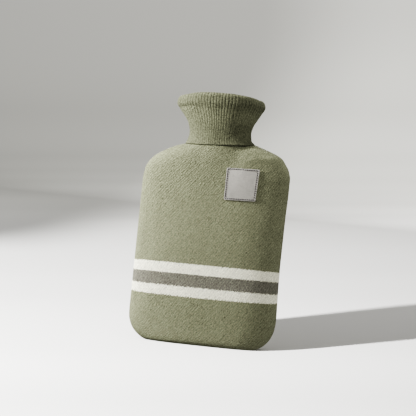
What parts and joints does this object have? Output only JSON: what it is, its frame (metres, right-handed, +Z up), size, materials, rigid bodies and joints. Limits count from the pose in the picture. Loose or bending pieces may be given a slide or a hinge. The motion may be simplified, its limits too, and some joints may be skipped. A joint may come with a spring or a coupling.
{
  "type": "hot water bottle cover",
  "caption": "Knitted hot water bottle cover standing in its filled shape, with a flared ribbed collar, an open neck and a flat base.",
  "frame": {"origin": "on the surface the cover stands on, under the middle of its bounding box", "axes": "+Z up along the cover's height, +X to the right of someone facing its front, the front faces -Y"},
  "size_m": [0.207, 0.0736, 0.3532],
  "materials": {
    "front_knit": "sage green fine knit with one warm grey and two off-white stripes, soft and matte",
    "back_knit": "sage green fine knit with one warm grey and two off-white stripes, soft and matte",
    "rib_knit": "sage green rib knit, soft and matte",
    "label_weave": "close grey woven patch with dark grey running stitches"
  },
  "bodies": {
    "root": {"front_panel": "front_knit", "back_panel": "back_knit", "rib_collar": "rib_knit", "label": "label_weave"}
  },
  "joints": []
}
